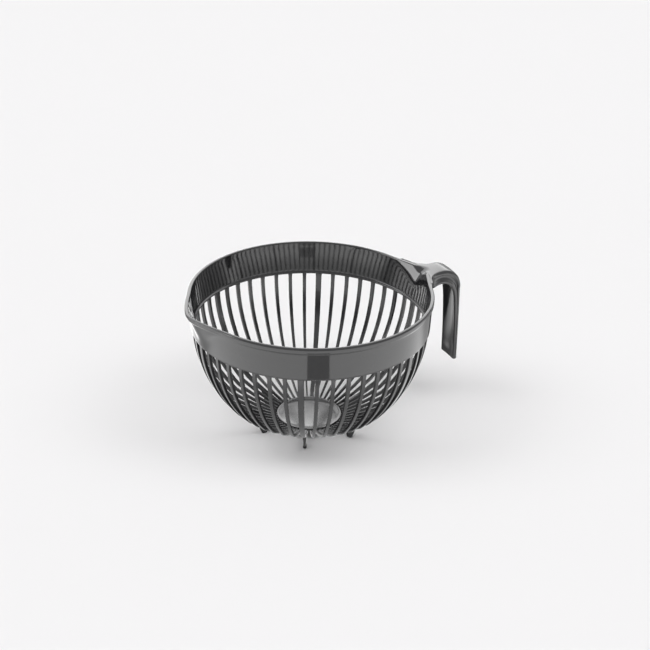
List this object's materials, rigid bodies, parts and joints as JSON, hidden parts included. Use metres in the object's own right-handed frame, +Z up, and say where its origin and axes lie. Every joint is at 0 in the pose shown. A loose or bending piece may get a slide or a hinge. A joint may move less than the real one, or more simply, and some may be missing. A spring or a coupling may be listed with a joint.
{
  "type": "strainer bowl with hook handle",
  "caption": "Open-ribbed round strainer bowl with a solid upper band, a pouring beak, fin feet and a hook-shaped channel handle hanging beside it.",
  "frame": {"origin": "on the floor that the feet stand on, below the middle of the object's length and width", "axes": "+Z up through the open mouth, +X from the pouring beak towards the handle, Y across the symmetry plane"},
  "size_m": [0.2928, 0.24, 0.147],
  "materials": {
    "moulded_plastic": "glossy dark grey, injection moulded"
  },
  "bodies": {
    "root": {"rim_lip": "moulded_plastic", "upper_band": "moulded_plastic", "base_disc": "moulded_plastic", "wide_rib_00": "moulded_plastic", "foot_00": "moulded_plastic", "rib_01": "moulded_plastic", "rib_02": "moulded_plastic", "rib_03": "moulded_plastic", "rib_04": "moulded_plastic", "rib_05": "moulded_plastic", "rib_06": "moulded_plastic", "rib_07": "moulded_plastic", "wide_rib_08": "moulded_plastic", "foot_08": "moulded_plastic", "rib_09": "moulded_plastic", "rib_10": "moulded_plastic", "rib_11": "moulded_plastic", "rib_12": "moulded_plastic", "rib_13": "moulded_plastic", "rib_14": "moulded_plastic", "rib_15": "moulded_plastic", "wide_rib_16": "moulded_plastic", "foot_16": "moulded_plastic", "rib_17": "moulded_plastic", "rib_18": "moulded_plastic", "rib_19": "moulded_plastic", "rib_20": "moulded_plastic", "rib_21": "moulded_plastic", "rib_22": "moulded_plastic", "rib_23": "moulded_plastic", "wide_rib_24": "moulded_plastic", "foot_24": "moulded_plastic", "rib_25": "moulded_plastic", "rib_26": "moulded_plastic", "rib_27": "moulded_plastic", "rib_28": "moulded_plastic", "rib_29": "moulded_plastic", "rib_30": "moulded_plastic", "rib_31": "moulded_plastic", "wide_rib_32": "moulded_plastic", "foot_32": "moulded_plastic", "rib_33": "moulded_plastic", "rib_34": "moulded_plastic", "rib_35": "moulded_plastic", "rib_36": "moulded_plastic", "rib_37": "moulded_plastic", "rib_38": "moulded_plastic", "rib_39": "moulded_plastic", "wide_rib_40": "moulded_plastic", "foot_40": "moulded_plastic", "rib_41": "moulded_plastic", "rib_42": "moulded_plastic", "rib_43": "moulded_plastic", "rib_44": "moulded_plastic", "rib_45": "moulded_plastic", "rib_46": "moulded_plastic", "rib_47": "moulded_plastic", "handle_arch": "moulded_plastic", "handle_grip": "moulded_plastic"}
  },
  "joints": []
}
